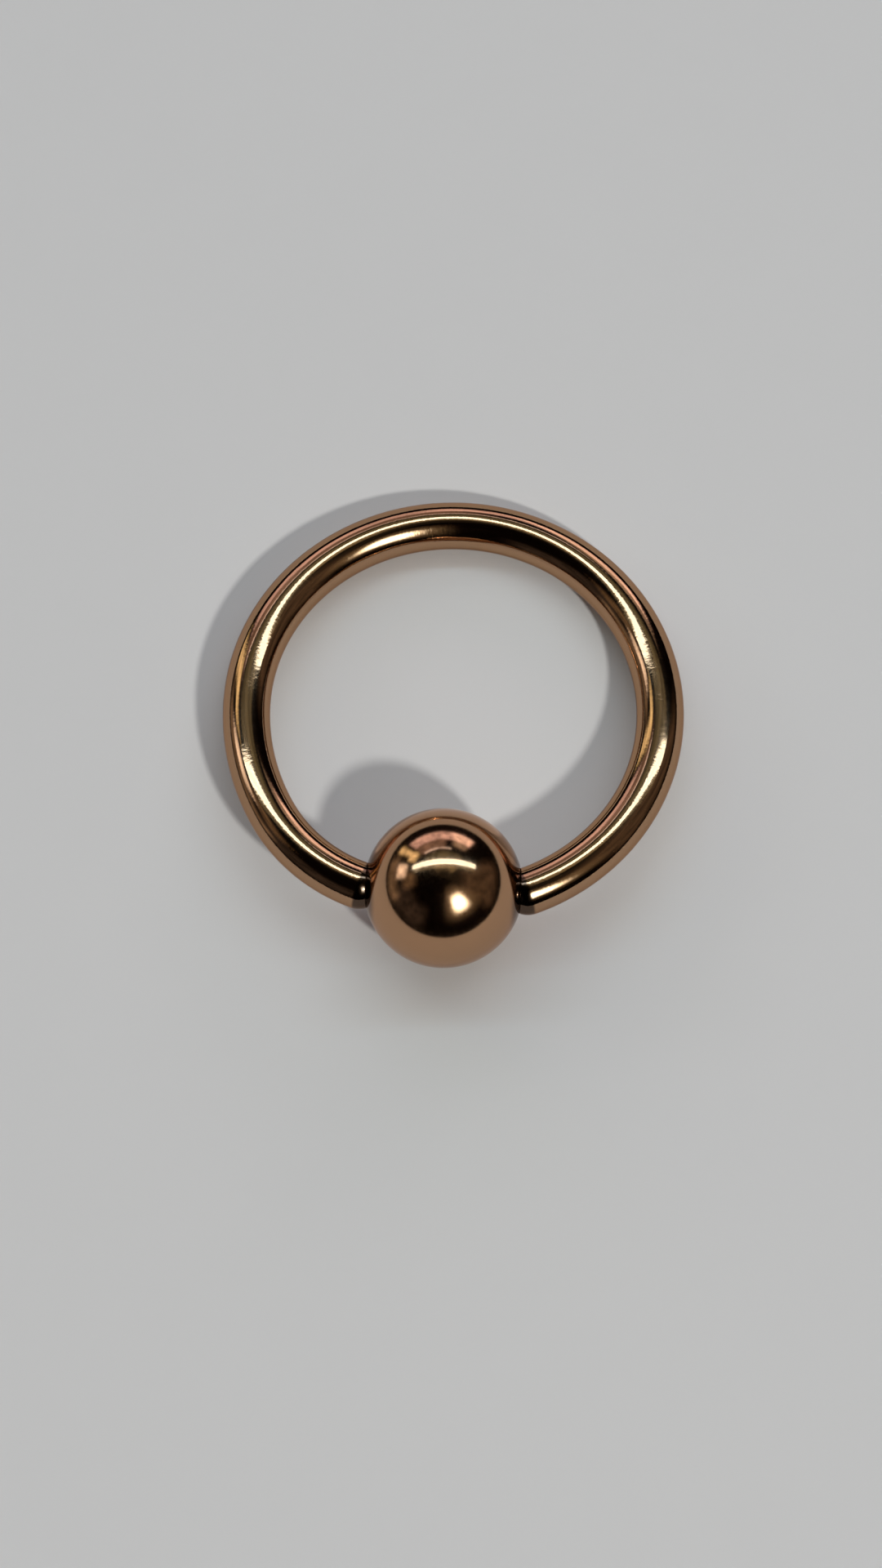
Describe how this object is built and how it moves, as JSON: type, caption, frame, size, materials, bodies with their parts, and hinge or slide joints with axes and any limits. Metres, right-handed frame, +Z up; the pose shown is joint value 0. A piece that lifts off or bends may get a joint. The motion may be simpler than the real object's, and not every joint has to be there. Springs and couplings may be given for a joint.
{
  "type": "captive bead ring",
  "caption": "Captive bead ring of round wire: an open hoop whose domed ends sit in the dimples of a polished ball, which turns between them. It lies flat on a surface.",
  "frame": {"origin": "on the surface the ring lies on, under the middle of its bounding box", "axes": "+Z up; +Y from the bead towards the far side of the hoop; +X along the axis that the bead turns about"},
  "size_m": [0.0155, 0.0166, 0.0053],
  "materials": {
    "ring_metal": "mirror-polished rose-gold coated steel wire with fine polishing lines along it",
    "bead_metal": "mirror-polished rose-gold coated steel ball with faint handling marks"
  },
  "bodies": {
    "ring": {"ring": "ring_metal"},
    "bead": {"bead": "bead_metal"}
  },
  "joints": [
    {"name": "bead_spin", "type": "hinge", "parent": "ring", "child": "bead", "pos_m": [-0.00009, -0.00569, 0.00265], "axis": [1, 0, 0], "continuous": true}
  ]
}
